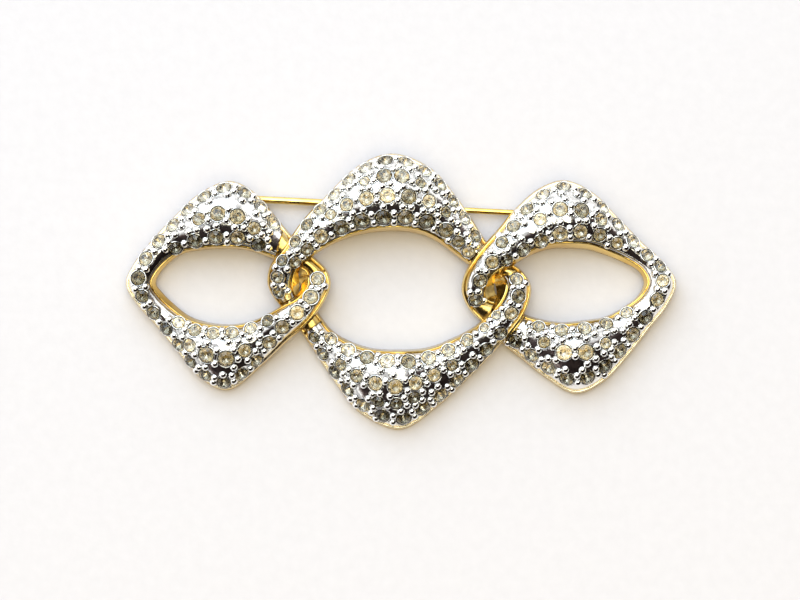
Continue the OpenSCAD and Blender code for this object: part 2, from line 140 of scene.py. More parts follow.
# Plain stretches, where another link passes over: start and end at the outer edge, then
# start and end at the inner edge, as places along the table.
LEFT_PLAIN = [[2.75, 5.8, 2.95, 5.8]]
CENTER_PLAIN = [[3.9, 6.0, 3.9, 6.0], [16.7, 18.15, 16.5, 18.15]]
RIGHT_PLAIN = [[12.95, 15.0, 12.2, 15.0]]

# Rows of stones: share of the way across at the row's start, middle and end, its first
# and last place along the table, number, and stone width at the middle and the ends.
LEFT_ROWS = [
    [0.45, 0.09, 0.15, 17.34, 24.2, 10, 1.85, 1.85],
    [0.45, 0.50, 0.59, 20.9, 23.3, 4, 2.0, 1.65],
    [0.84, 0.85, 0.86, 19.72, 23.68, 5, 1.9, 1.7],
    [0.50, 0.52, 0.30, 6.38, 10.5, 5, 1.85, 1.7],
    [0.15, 0.13, 0.40, 11.1, 16.16, 9, 1.75, 1.6],
    [0.86, 0.88, 0.74, 10.16, 14.32, 6, 1.65, 1.55],
    [0.49, 0.48, 0.43, 11.38, 13.58, 4, 2.1, 1.7],
]
CENTER_ROWS = [
    [0.19, 0.06, 0.10, 21.44, 28.4, 13, 1.85, 1.5],
    [0.29, 0.29, 0.29, 24.74, 25.26, 2, 1.95, 1.95],
    [0.27, 0.28, 0.29, 24.14, 25.8, 2, 1.3, 1.3],
    [0.41, 0.40, 0.42, 22.94, 26.88, 2, 1.35, 1.35],
    [0.46, 0.57, 0.49, 23.5, 26.18, 5, 1.95, 1.7],
    [0.71, 0.87, 0.74, 22.3, 27.2, 7, 2.0, 1.85],
    [0.86, 0.80, 0.74, 20.72, 21.56, 2, 1.5, 1.5],
    [0.72, 0.72, 0.73, 27.95, 28.6, 2, 1.5, 1.5],
    [0.48, 0.43, 0.40, 6.5, 8.5, 3, 1.7, 1.6],
    [0.86, 0.84, 0.83, 8.92, 9.76, 2, 1.1, 1.1],
    [0.25, 0.13, 0.18, 9.48, 15.68, 12, 1.9, 1.6],
    [0.81, 0.87, 0.83, 10.56, 15.7, 8, 1.85, 1.6],
    [0.50, 0.55, 0.44, 11.34, 14.92, 7, 1.9, 1.4],
    [0.36, 0.33, 0.29, 12.6, 13.58, 3, 1.5, 1.5],
    [0.20, 0.30, 0.40, 16.15, 16.45, 1, 1.3, 1.3],
    [0.30, 0.38, 0.29, 18.62, 20.46, 3, 1.6, 1.45],
]
RIGHT_ROWS = [
    [0.42, 0.66, 0.30, 15.26, 18.76, 4, 1.7, 1.6],
    [0.22, 0.07, 0.10, 19.48, 24.76, 8, 1.7, 1.7],
    [0.27, 0.20, 0.47, 25.46, 26.88, 3, 1.55, 1.6],
    [0.42, 0.19, 0.25, 27.9, 34.4, 10, 1.85, 1.7],
    [0.49, 0.44, 0.40, 20.6, 23.36, 4, 1.95, 1.6],
    [0.90, 0.86, 0.66, 18.32, 24.24, 7, 1.9, 1.5],
    [0.84, 0.90, 0.88, 29.06, 33.36, 5, 1.7, 1.5],
    [0.55, 0.56, 0.61, 30.56, 33.08, 4, 2.1, 1.45],
]

# The hinge behind the left link, the pin, and the hook behind the right link.
HINGE_X, HINGE_Y = -23.6, 11.8    # the rivet's middle
STEM_SLOPE, STEM_L = -3.0, 46.5    # the pin's slope in plan, and its length
STEM_DROP = 1.3       # depth of the pin's axis below the backs
CATCH_AT = 42.5       # from the rivet to the hook
CANT = 25.0           # turn of the rivet, so that the pin swings clear of the links
STEM_R, TIP_R, SLIM_R, POINT_R = 0.48, 0.38, 0.34, 0.06    # radii of the pin
THICK_L, TAPER_L, EVEN_L, POINT_L = 14, 6, 20.5, 3    # lengths of its stretches
RIVET_R, RIVET_GAP = 0.35, 0.06
KNUCKLE_W, EAR_W, EAR_GAP = 1.0, 0.5, 0.1
EAR_AT = KNUCKLE_W / 2 + EAR_GAP
HOOK_GAP, HOOK_WALL, HOOK_W = 0.2, 0.5, 2.0
HOOK_R = TIP_R + HOOK_GAP
HOOK_END = -60        # end of the hook's arc, in degrees from Y towards the backs
PLATE_T = 0.5         # how far the solder plates stand out of the backs


def sin(degrees):
    return math.sin(math.radians(degrees))


def cos(degrees):
    return math.cos(math.radians(degrees))


# The brooch leans on its hook's lip and the foot of the middle link, as in the solids.
FOOT_Y, TOP_Y = CENTER[13][1], CENTER[0][1]
LIP_Y = HINGE_Y + CATCH_AT * sin(STEM_SLOPE) + (HOOK_R + HOOK_WALL) * cos(HOOK_END)
LIP_LOW = STEM_DROP - (HOOK_R + HOOK_WALL) * sin(HOOK_END)
LEAN = math.degrees(math.atan2(LIP_LOW, LIP_Y - FOOT_Y))
LIFT = -FOOT_Y * sin(LEAN)
HINGE_HIGH = LIFT + HINGE_Y * sin(LEAN) - STEM_DROP * cos(LEAN)
HINGE_R = (HINGE_HIGH - (EAR_AT + EAR_W) * sin(CANT - LEAN)) / cos(CANT - LEAN)
LEAN_TURN = np.array([[1, 0, 0], [0, cos(LEAN), -sin(LEAN)], [0, sin(LEAN), cos(LEAN)]])
LEAN_MOVE = np.array([0, -(FOOT_Y + TOP_Y) / 2 * cos(LEAN), LIFT])


def laid(points):
    """Takes points in the brooch's frame, in millimetres, to the row frame, in metres."""
    return (np.asarray(points, float) @ LEAN_TURN.T + LEAN_MOVE) * MM


def smooth(x):
    """0 below 0, 1 above 1, and an even S between."""
    x = np.clip(x, 0, 1)
    return x * x * (3 - 2 * x)


def arch(t):
    """Height of the dome at a share t of the way across: 0 at both ends, 1 in the middle."""
    return (4 * t * (1 - t)) ** DOME_POWER


def distances_along(points):
    """Distance of each point from the first one, along the line through all of them."""
    steps = np.linalg.norm(np.diff(points, axis=0), axis=1)
    return np.concatenate([[0], np.cumsum(steps)])


ROW_POINTS = 41       # points by which a row of stones is measured
NUDGE = 0.02          # step by which the slopes at a stone's seat are measured


class Band:
    """A link as its table of sections. Places s along it may be arrays."""

    def __init__(self, table, plain, rows):
        self.table = np.array(table)
        self.plain = plain
        self.rows = rows

    def section(self, s):
        """The row of the table for place s, on a smooth curve through all rows."""
        s = np.asarray(s, float)
        i = np.floor(s).astype(int)
        t = (s - i)[..., None]
        a, b, c, d = (self.table[(i + k) % len(self.table)] for k in (-1, 0, 1, 2))
        q = 0.5 * (2 * b + (c - a) * t + (2 * a - 5 * b + 4 * c - d) * t ** 2
                   + (3 * b - a - 3 * c + d) * t ** 3)
        q[..., 5] = np.maximum(q[..., 5], 0)
        return q

    @staticmethod
    def span(q):
        """Width of sections q and the unit direction across them."""
        d = q[..., 2:4] - q[..., 0:2]
        w = np.linalg.norm(d, axis=-1)
        return w, d / w[..., None]

    def edges(self, q):
        """Distances from the outer foot to the two edges of the front."""
        w, _ = self.span(q)
        return OUTER_LEAN + RIM_W, w - q[..., 4] - RIM_W

    def front(self, q, off):
        """Height of the set front at a distance from the outer foot."""
        w, _ = self.span(q)
        a, b = self.edges(q)
        t = np.clip((off - a) / (b - a), 0, 1)
        return (q[..., 6] + INNER_RISE * np.maximum(w - ARM_W, 0) * t
                + DOME_SHARE * w * arch(t))

    def point(self, q, off, z):
        """Point at a distance from the outer foot, at height z."""
        _, d = self.span(q)
        off, z = np.broadcast_arrays(off, z)
        return np.stack([q[..., 0] + d[..., 0] * off, q[..., 1] + d[..., 1] * off, z], axis=-1)

    def spot(self, s, v):
        """Point on the front at place s, a share v of the way across."""
        q = self.section(s)
        w, _ = self.span(q)
        b = w - q[..., 4]
        off = np.clip(OUTER_LEAN + v * (b - OUTER_LEAN), OUTER_LEAN + EDGE_KEEP, b - EDGE_KEEP)
        return self.point(q, off, self.front(q, off)), q, off

    def bare(self, s, v):
        """Whether the band is plain at place s and share v, and not set with stones."""
        n = len(self.table)
        out = np.zeros(np.broadcast(s, v).shape, bool)
        for start, end, start_in, end_in in self.plain:
            lo = start + (start_in - start) * v
            hi = end + (end_in - end) * v
            out |= (s % n > lo) & (s % n < hi)
        return out

    def seats(self):
        """For each stone: centre, two vectors in its plane, its axis, and its width."""
        seats = []
        for v0, v1, v2, s0, s1, count, mid_d, end_d in self.rows:
            def across(t):
                return v0 * (1 - 2 * t) * (1 - t) + v1 * 4 * t * (1 - t) + v2 * t * (2 * t - 1)
            t = np.linspace(0, 1, ROW_POINTS)
            line, _, _ = self.spot(s0 + (s1 - s0) * t, across(t))
            run = distances_along(line)
            for i in range(count):
                t1 = 0.5 if count == 1 else np.interp(run[-1] * i / (count - 1), run, t)
                seats.append(self.seat(s0 + (s1 - s0) * t1, across(t1))
                             + (mid_d + (end_d - mid_d) * (2 * t1 - 1) ** 2,))
        return seats

    def seat(self, s, v):
        """Centre, two vectors in the plane, and axis of a stone at place s and share v."""
        centre, q, off = self.spot(s, v)
        along = self.spot(s + NUDGE, v)[0] - self.spot(s - NUDGE, v)[0]
        _, d = self.span(q)
        rise = self.front(q, off + NUDGE) - self.front(q, off - NUDGE)
        u = along / np.linalg.norm(along)
        out = np.cross([d[0] * 2 * NUDGE, d[1] * 2 * NUDGE, rise], u)
        out = out / np.linalg.norm(out) + [0, 0, SEAT_EASE]
        out /= np.linalg.norm(out)
        u = u - out * (u @ out)
        u /= np.linalg.norm(u)
        return centre, u, np.cross(out, u), out


BANDS = {
    "left": Band(LEFT, LEFT_PLAIN, LEFT_ROWS),
    "center": Band(CENTER, CENTER_PLAIN, CENTER_ROWS),
    "right": Band(RIGHT, RIGHT_PLAIN, RIGHT_ROWS),
}


# Materials

NOISE_LOW, NOISE_HIGH = 0.3, 0.7    # most values of a noise texture lie between these
# Near-black colour of the painted shade, blended into the metals.
PAINTED_SHADE_COLOUR = (0.03, 0.025, 0.023)


def new_material(name):
    mat = bpy.data.materials.new(name)
    mat.use_nodes = True
    nodes, links = mat.node_tree.nodes, mat.node_tree.links
    return mat, nodes, links, nodes["Principled BSDF"]


def noise(nodes, links, scale, detail, coordinates="Object"):
    """Noise in the object's own coordinates, with scale in waves per metre."""
    place = nodes.new("ShaderNodeTexCoord")
    tex = nodes.new("ShaderNodeTexNoise")
    tex.inputs["Scale"].default_value = scale
    tex.inputs["Detail"].default_value = detail
    links.new(place.outputs[coordinates], tex.inputs["Vector"])
    return tex.outputs["Fac"]


def attribute(nodes, name):
    node = nodes.new("ShaderNodeAttribute")
    node.attribute_name = name
    return node.outputs["Fac"]


def ramp(nodes, links, source, stops):
    node = nodes.new("ShaderNodeValToRGB")
    while len(node.color_ramp.elements) < len(stops):
        node.color_ramp.elements.new(0.5)
    for element, (at, colour) in zip(node.color_ramp.elements, stops):
        element.position = at
        element.color = (*colour, 1)
    links.new(source, node.inputs["Fac"])
    return node.outputs["Color"]


def spread(nodes, links, source, low, high):
    """Maps most of a noise texture's values to the range from low to high."""
    node = nodes.new("ShaderNodeMapRange")
    node.inputs["From Min"].default_value = NOISE_LOW
    node.inputs["From Max"].default_value = NOISE_HIGH
    node.inputs["To Min"].default_value = low
    node.inputs["To Max"].default_value = high
    links.new(source, node.inputs["Value"])
    return node.outputs["Result"]


def feed(links, value, socket):
    """Links a node's output to a socket, or sets the socket to a number or colour."""
    if isinstance(value, bpy.types.NodeSocket):
        links.new(value, socket)
    else:
        socket.default_value = value


def mixed(nodes, links, share, a, b, blend="MIX"):
    """Colour a, with colour b blended in by a share."""
    node = nodes.new("ShaderNodeMix")
    node.data_type = "RGBA"
    node.blend_type = blend
    for name, value in (("Factor", share), ("A", a), ("B", b)):
        feed(links, value, node.inputs[name])
    return node.outputs["Result"]


def bump(nodes, links, shader, height, strength, distance):
    node = nodes.new("ShaderNodeBump")
    node.inputs["Strength"].default_value = strength
    node.inputs["Distance"].default_value = distance
    links.new(height, node.inputs["Height"])
    links.new(node.outputs["Normal"], shader.inputs["Normal"])


def metal(name, dark, light, pale, rough, grain, relief):
    """Plated cast metal: a slow change of tone, uneven polish and a faint cast ripple.
    It is pale where its painted-highlight attribute is high, and darkened by painted shade where
    its painted-shade attribute is high: in recesses, under other links and on walls that mirror
    the shaded floor. Grain is in waves per metre, and relief in metres."""
    mat, nodes, links, shader = new_material(name)
    shader.inputs["Metallic"].default_value = 1.0
    tone = noise(nodes, links, scale=260, detail=4)
    colour = ramp(nodes, links, tone, [(0.35, dark), (0.65, light)])
    colour = mixed(nodes, links, attribute(nodes, "wear"), colour, (*pale, 1))
    # Painted shade: the colour goes towards near-black where the shade attribute is high.
    colour = mixed(nodes, links, attribute(nodes, "tarnish"), colour, (*PAINTED_SHADE_COLOUR, 1))
    links.new(colour, shader.inputs["Base Color"])
    polish = noise(nodes, links, grain, detail=3)
    links.new(spread(nodes, links, polish, *rough), shader.inputs["Roughness"])
    bump(nodes, links, shader, polish, strength=0.5, distance=relief)
    return mat


# Pale colours of the painted highlight on the rims.
WHITE = (0.96, 0.96, 0.96)
CREAM = (0.97, 0.89, 0.70)
SILVER = metal("silver_plate", (0.86, 0.84, 0.80), (0.97, 0.95, 0.91), WHITE,
               rough=(0.05, 0.14), grain=800, relief=0.00009)
BEAD = metal("silver_beads", (0.92, 0.91, 0.88), (0.99, 0.98, 0.95), WHITE,
             rough=(0.03, 0.08), grain=900, relief=0.00002)
GOLD = metal("gold_plate", (0.73, 0.47, 0.11), (0.88, 0.65, 0.23), CREAM,
             rough=(0.11, 0.24), grain=900, relief=0.00008)
WIRE = metal("gold_wire", (0.80, 0.54, 0.12), (0.92, 0.70, 0.24), CREAM,
             rough=(0.10, 0.18), grain=1500, relief=0.00003)


def glass():
    """Clear glass, slightly hazed in places."""
    mat, nodes, links, shader = new_material("cut_glass")
    shader.inputs["Transmission Weight"].default_value = 1.0
    shader.inputs["IOR"].default_value = 1.56
    shader.inputs["Base Color"].default_value = (0.97, 0.96, 0.93, 1)
    haze = noise(nodes, links, scale=2600, detail=2)
    links.new(spread(nodes, links, haze, 0.0, 0.05), shader.inputs["Roughness"])
    return mat


# Colours of the stones' foil, by the attribute "tone".
FOIL_STOPS = [(0.0, (0.13, 0.12, 0.085)), (0.3, (0.36, 0.335, 0.26)),
              (0.65, (0.61, 0.57, 0.47)), (1.0, (0.90, 0.87, 0.80))]


def foil():
    """The foiled back of a stone, aged to grey-olive, each stone and facet in its own tone,
    which also carries painted shade.
    """
    mat, nodes, links, shader = new_material("stone_foil")
    shader.inputs["Metallic"].default_value = 1.0
    colour = ramp(nodes, links, attribute(nodes, "tone"), FOIL_STOPS)
    speck = noise(nodes, links, scale=3000, detail=2)
    colour = mixed(nodes, links, 0.25, colour, speck, blend="MULTIPLY")
    links.new(colour, shader.inputs["Base Color"])
    links.new(spread(nodes, links, speck, 0.16, 0.30), shader.inputs["Roughness"])
    return mat


GLASS = glass()
FOIL = foil()


def piece(name, points, faces, materials, slots=None, body=BODY, sharp=35, **shares):
    """A mesh of points in the brooch's frame, smooth but for edges sharper than `sharp`.
    Further arguments, such as the painted shade, are attributes with one value for each point."""
    mesh = bpy.data.meshes.new(name)
    mesh.from_pydata(laid(points).tolist(), [], faces)
    for mat in materials:
        mesh.materials.append(mat)
    if slots is not None:
        mesh.polygons.foreach_set("material_index", np.asarray(slots, np.int32))
    for attribute_name, values in shares.items():
        mesh.attributes.new(attribute_name, "FLOAT", "POINT").data.foreach_set(
            "value", np.asarray(values, np.float32).reshape(-1))
    mesh.validate()
    mesh.update()
    mesh.shade_smooth()
    mesh.set_sharp_from_angle(angle=math.radians(sharp))
    obj = bpy.data.objects.new(name, mesh)
    bpy.context.scene.collection.objects.link(obj)
    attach(obj, body)
    return obj


# Links

RING_STEP = 0.15      # length along a link between two rings of its mesh
LINK_POINTS = 4001    # points by which a link's length is measured
DOME_POINTS = 56      # points across the set front
FRONT_GAP = 0.02      # from the rims to the front's first and last points
BACK_SHARES = (0.8, 0.6, 0.4, 0.2)    # places of the points across the back
OUTER_GOLD = 2        # columns of the set front that are gold, along the outer rim
OUTER_GOLD_W = 0.28   # and how wide they are together

# Rounded foot of a wall: distance in from the wall, and height over the back.
FOOT_ROUND = [(0.14, 0.0), (0.04, 0.03), (0.0, 0.13)]
# Points up the outer wall and down the inner one: shares of the wall's lean and height.
OUTER_WALL = [(0.35, 0.4), (0.75, 0.8)]
INNER_WALL = [(0.3, 0.72), (0.7, 0.36)]
# Rounded rim: distance in from the wall, and depth below the rim's top.
RIM_ROUND = [(0.0, 0.1), (0.04, 0.03), (0.11, 0.0)]
# Its step down to the front: distance from the front, and depth below the rim's top.
RIM_STEP = [(0.05, 0.02), (0.0, 0.07)]

PIT_GAP = 0.08        # from a stone's girdle to the wall of its seat
PIT_WALL = 0.08       # width of that wall
PIT_DEEP = 0.42       # depth of a seat, as a share of the stone's width
LINE_W = 0.09         # width of the fine dark lines around stones and beads
STONE_LINE = (0.20, 0.55)    # distance of such a line from the girdle, and how dark its painted shade is
BEAD_LINE = (0.01, 0.9)      # the same for a bead's edge
RIM_DARK_REFLECTION, RIM_DARK_REFLECTION_W = 0.95, 0.7   # painted dark reflection on the front along the inner rim, and how far it reaches
RIM_DARK_REFLECTION_WAY = (0.9, -1.0)      # the way across the band that gets most of the painted dark reflection
LOW_WALL_PAINTED_SHADE = 0.4        # painted shade on the inner walls nearest the foot, which face up and mirror the shaded floor
PLAIN_PAINTED_SHADE = 0.35     # painted shade on the plain stretches, which lie under another link
# How far the painted highlight turns the gilding pale, from the foot of the outer wall to the
# set front.
RIM_HIGHLIGHT = [0, 0, 0, 0.1, 0.3, 0.6, 0.8, 0.9, 0.9, 0.8, 0.8]
CROSSINGS = [(-12.6, -0.4), (12.6, 0.3)]    # where two links meet: no painted highlight, the gilding keeps its deep gold
UNLIT_R, LIT_FADE = 4, 8    # out to the first distance, and the painted highlight comes in over the next


def even_places(band):
    """Places along a band whose rings are about RING_STEP apart."""
    s = np.linspace(0, len(band.table), LINK_POINTS)
    q = band.section(s)
    w, d = band.span(q)
    run = distances_along(q[:, 0:2] + d * (w / 2)[:, None])
    count = int(run[-1] / RING_STEP)
    return np.interp(np.arange(count) * run[-1] / count, run, s)


def drop_into_seats(points, seats):
    """Sinks the part of the front that lies over a stone's seat, and says how much painted shade
    each point gets: the seats get it, and a fine line around each of them."""
    out = points.copy()
    dark = np.zeros(points.shape[:-1])
    line_at, line_dark = STONE_LINE
    for centre, _, _, axis, width in seats:
        away = points - centre
        high = away @ axis
        apart = np.sqrt(np.maximum((away ** 2).sum(-1) - high ** 2, 0)) - width / 2
        near = np.abs(high) < width
        share = (1 - smooth((apart - PIT_GAP) / PIT_WALL)) * near
        out -= share[..., None] * PIT_DEEP * width * axis
        line = 1 - smooth((apart - line_at) / LINE_W)
        dark = np.maximum(dark, np.maximum(share, line_dark * line) * near)
    return out, dark


def crease(points, held):
    """Painted shade from the beads: a fine dark line around each bead's foot."""
    dark = np.zeros(points.shape[:-1])
    line_at, line_dark = BEAD_LINE
    for place, _ in held:
        apart = np.linalg.norm(points - place, axis=-1) - BEAD_R
        dark = np.maximum(dark, line_dark * (1 - smooth((apart - line_at) / LINE_W)))
    return dark


def side_sections(band, s, q):
    """Sections of a link's outer side, inner side and back, in order around it, as pairs of
    distance from the outer foot and height."""
    w, _ = band.span(q)
    back, rim, lean = q[:, 5], q[:, 6], q[:, 4]
    inner = w - lean
    a, b = band.edges(q)
    rim_out = np.where(band.bare(s, 0), PLAIN_RIM, rim)
    rim_in = np.where(band.bare(s, 1), PLAIN_RIM, band.front(q, b))
    outer_side = (
        [(x, back + z) for x, z in FOOT_ROUND]
        + [(OUTER_LEAN * x, back + (rim_out - back) * z) for x, z in OUTER_WALL]
        + [(OUTER_LEAN + x, rim_out - z) for x, z in RIM_ROUND]
        + [(a - x, rim_out - z) for x, z in RIM_STEP])
    inner_side = (
        [(b + x, rim_in - z) for x, z in reversed(RIM_STEP)]
        + [(inner - x, rim_in - z) for x, z in reversed(RIM_ROUND)]
        + [(inner + lean * x, back + (rim_in - back) * z) for x, z in INNER_WALL]
        + [(w - x, back + z) for x, z in reversed(FOOT_ROUND)])
    return outer_side, inner_side, [(w * share, back) for share in BACK_SHARES]


def front_places(rings, a, b):
    """Distances from the outer foot of each ring's points on the front."""
    silver_at = a + OUTER_GOLD_W
    gold = np.linspace(a + FRONT_GAP, silver_at, OUTER_GOLD, endpoint=False)
    even = np.linspace(0, 1, DOME_POINTS - OUTER_GOLD)
    return np.concatenate([np.tile(gold, (rings, 1)),
                           silver_at + (b - FRONT_GAP - silver_at) * even], axis=1)


def rim_dark_reflection(d, to_rim):
    """Painted dark reflection at distances from the inner rim, where d is the way across the
    band.
    """
    shaded = np.clip(d @ RIM_DARK_REFLECTION_WAY, 0, 1)[:, None]
    reach = RIM_DARK_REFLECTION_W * (1 + np.clip(d[:, :1], 0, 1))
    return RIM_DARK_REFLECTION * shaded * (1 - smooth(to_rim / reach))


def closed_faces(n, m):
    """Faces of n closed rings of m points, the last ring joined to the first."""
    i, j = np.meshgrid(np.arange(n), np.arange(m), indexing="ij")
    i1, j1 = (i + 1) % n, (j + 1) % m
    return np.stack([i * m + j, i1 * m + j, i1 * m + j1, i * m + j1], axis=-1).reshape(-1, 4)


def link_mesh(name, band, node, held):
    """A link: gold back, walls and rims, and the silver front between the rims."""
    s = even_places(band)
    q = band.section(s)
    a, b = band.edges(q)
    b = b[:, None]
    off = front_places(len(s), a, b)
    t = np.clip((off - a) / (b - a), 0, 1)
    bare = band.bare(s[:, None], t)
    grid_q = q[:, None, :]
    front = band.point(grid_q, off, band.front(grid_q, off))
    front, dark = drop_into_seats(front, band.seats())
    _, d = band.span(q)
    dark = np.maximum(dark, crease(front, held))
    # Painted dark reflection along the inner rim.
    dark = np.maximum(dark, rim_dark_reflection(d, b - off))
    plain_low = PLAIN_RIM - RIM_STEP[-1][1]
    front[..., 2] = np.where(bare, plain_low + (PLAIN_TOP - plain_low) * arch(t), front[..., 2])

    outer, inner, back = (np.stack([band.point(q, x, z) for x, z in pairs], axis=1)
                          for pairs in side_sections(band, s, q))
    rings = np.concatenate([outer, front, inner, back], axis=1)
    n, m = rings.shape[:2]
    first, after = outer.shape[1], outer.shape[1] + DOME_POINTS
    silver = np.zeros((n, m), int)
    silver[:, first + OUTER_GOLD:after - 1] = ~bare[:, OUTER_GOLD:-1]
    tarnish, wear = np.zeros((n, m)), np.zeros((n, m))
    # Painted shade: the plain stretches under another link are darkened.
    tarnish[:, first:after] = np.where(bare, PLAIN_PAINTED_SHADE, dark)
    # Painted shade on the lower inner walls, which face up.
    tarnish[:, after:after + inner.shape[1] - 1] = LOW_WALL_PAINTED_SHADE * np.clip(d[:, 1:], 0, 1)
    # Painted highlight: the outer rims are pale, except near the crossings.
    apart = np.linalg.norm(q[:, None, 0:2] - np.array(CROSSINGS), axis=2).min(axis=1)
    rim_lit = smooth((apart - UNLIT_R) / LIT_FADE)[:, None]
    wear[:, :first + OUTER_GOLD + 1] = rim_lit * (RIM_HIGHLIGHT + RIM_HIGHLIGHT[-1:] * OUTER_GOLD)
    obj = piece(name, rings.reshape(-1, 3), closed_faces(n, m).tolist(), [GOLD, SILVER],
                silver.reshape(-1), sharp=50, tarnish=tarnish, wear=wear)
    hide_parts(node)


# Stones

MAINS = 8             # main facets of a stone's crown
TURN = 2 * MAINS      # corners of its girdle
# Rings of a stone's corners, radius and height, as shares of its width.
TABLE_RING = (TABLE_SHARE / 2, CROWN_SHARE)
STAR_RING = (0.39, CROWN_SHARE * 0.52)
GIRDLE_RING, BELT_RING = (0.5, 0.012), (0.5, -0.012)
WAIST_RING = (0.27, -0.22)
GLASS_SLOT, FOIL_SLOT = 0, 1
STONE_TONES = (0.38, 0.95)    # range of the stones' tones
FACET_TONES = 0.16    # how much the facets of a stone differ from it
FOOT_FACING_SHADE = 0.7   # painted shade: how much darker the foil is where the front faces the foot
ARM_DARKER, ARM_REACH = 0.13, 9.0    # and how much darker the stones are on the arms, out to this far from the middle
TONE_SEEDS = {"left": 3604, "center": 3047, "right": 1638}


def stone_model():
    """Points and faces of a stone of unit width: a brilliant cut with 33 crown facets and a
    faceted foiled back. The last value of a face is its material slot."""
    pts, faces = [], []

    def ring(count, radius_and_height, start=0.0):
        radius, high = radius_and_height
        first = len(pts)
        for k in range(count):
            angle = 360 * (k + start) / count
            pts.append((radius * cos(angle), radius * sin(angle), high))
        return first
    table = ring(MAINS, TABLE_RING, 0.5)
    star = ring(MAINS, STAR_RING)
    girdle = ring(TURN, GIRDLE_RING)
    belt = ring(TURN, BELT_RING)
    waist = ring(MAINS, WAIST_RING, 0.5)
    tip = len(pts)
    pts.append((0, 0, -PAVILION_SHARE))
    faces.append(([table + k for k in range(MAINS)], GLASS_SLOT))
    for k in range(MAINS):
        t0, t1 = table + (k - 1) % MAINS, table + k
        g0, g1, g2 = (girdle + (2 * k + d) % TURN for d in (-1, 0, 1))
        s0, s1 = star + k, star + (k + 1) % MAINS
        faces.append(([t0, s0, t1], GLASS_SLOT))        # star facet
        faces.append(([s0, g1, g2], GLASS_SLOT))
        faces.append(([s0, g0, g1], GLASS_SLOT))
        faces.append(([t1, s0, g2, s1], GLASS_SLOT))    # kite between two stars
    for k in range(TURN):
        g0, g1 = girdle + k, girdle + (k + 1) % TURN
        b0, b1 = belt + k, belt + (k + 1) % TURN
        faces.append(([g0, b0, b1, g1], GLASS_SLOT))
    for k in range(MAINS):
        w0, w1 = waist + (k - 1) % MAINS, waist + k
        b0, b1, b2 = (belt + (2 * k + d) % TURN for d in (-1, 0, 1))
        for face in ([b1, b0, w0], [b2, b1, w1], [b1, w0, w1], [w1, w0, tip]):
            faces.append((face, FOIL_SLOT))
    return np.array(pts), faces


def stones_mesh(name, band, node, seed):
    """All stones of a link, each turned at random and in a tone of its own, with painted shade
    where its front faces the foot, and darker on the arms.
    """
    unit, unit_faces = stone_model()
    rng = np.random.default_rng(seed)
    points, faces, slots, tones = [], [], [], []
    for centre, u, v, out, width in band.seats():
        turn, tone = rng.uniform(0, 360), rng.uniform(*STONE_TONES)
        # Painted shade: darker where the front faces the foot. The stones on the arms near the
        # middle are darker too.
        tone += FOOT_FACING_SHADE * min(out[1], 0)
        tone -= ARM_DARKER * (1 - smooth(abs(centre[1]) / ARM_REACH))
        x = u * cos(turn) + v * sin(turn)
        y = np.cross(out, x)
        first = len(points) * len(unit)
        points.append(centre + out * GIRDLE_PROUD
                      + width * (unit[:, :1] * x + unit[:, 1:2] * y + unit[:, 2:] * out))
        faces += [[first + k for k in f] for f, _ in unit_faces]
        slots += [slot for _, slot in unit_faces]
        tones += list(tone + rng.normal(0, FACET_TONES, len(unit_faces)))
    obj = piece(name, np.concatenate(points), faces, [GLASS, FOIL], slots, sharp=1)
    tone = obj.data.attributes.new("tone", "FLOAT", "FACE")
    tone.data.foreach_set("value", np.array(tones, np.float32))
    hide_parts(node)


# Settings: the lip around each stone, and the beads that hold the stones

BEAD_R = 0.54
BEAD_SINK = 0.06      # how far a bead's centre lies below the front
BEAD_OVER = (-0.08, 0.17)    # least and most that a bead reaches over a stone's girdle
BEAD_HOLD = 0.2       # a bead holds the stones whose girdles are this near to it
BEAD_UNEVEN = 0.8     # how much it counts against a place that its stones aren't all as near
BEAD_APART = 0.98     # least distance between two beads' centres
BEAD_APART_ALONE = 1.05      # the same where a bead touches one stone only
BEAD_TO_RIM = (0.36, 0.5)    # least distance of a bead's centre from the outer and inner rim
BEADS_ENOUGH, BEADS_ENOUGH_WIDE = 3, 5    # beads that a stone gets, on arms and on lobes
LOBE_W = 4.8          # least width of a lobe
BEAD_SIDES, LIP_SIDES = 18, 28
# Section of the lip around a stone: distance outside the girdle, height, painted shade.
LIP = [(0.22, -0.45, 1.0), (0.21, -0.08, 0.6), (0.18, -0.01, 0.3), (0.14, 0.02, 0.0),
       (0.10, 0.02, 0.0), (0.07, -0.01, 0.5), (0.06, -0.10, 1.0), (0.06, -0.35, 1.0)]
LIP_INSIDE = 0.07     # the part of the lip that is always whole
LIP_ROOM = 0.5        # gap between two stones below which their lips are narrower
LIP_LEAST = 0.3       # the narrowest that the rest of a lip gets, as a share
# Section of a bead, as degrees above its middle, with the painted shade at each: darker on its
# underside.
BALL = [(-35, 1.0), (-12, 0.7), (4, 0.2), (18, 0.0), (35, 0.0), (50, 0.0), (65, 0.0), (78, 0.0)]
FRONT_COLUMNS = 61    # places across the front that are tried for a bead


def fine_front(band):
    """A grid of the front's points that may hold a bead, with their axes and the width of
    the band there."""
    s, v = np.meshgrid(even_places(band), np.linspace(0.0, 1.0, FRONT_COLUMNS), indexing="ij")
    q = band.section(s)
    w, _ = band.span(q)
    b = w - q[..., 4]
    off = OUTER_LEAN + v * (b - OUTER_LEAN)
    grid = band.point(q, off, band.front(q, off))
    along = np.roll(grid, -1, 0) - np.roll(grid, 1, 0)
    across = np.gradient(grid, axis=1)
    axes = np.cross(across, along)
    axes /= np.linalg.norm(axes, axis=-1)[..., None]
    keep = ~band.bare(s, v)
    keep &= (off > OUTER_LEAN + BEAD_TO_RIM[0]) & (off < b - BEAD_TO_RIM[1])
    return grid[keep], axes[keep], w[keep]


def girdles(seats):
    """Centres and radii of the stones' girdles."""
    return np.array([seat[0] for seat in seats]), np.array([seat[4] / 2 for seat in seats])


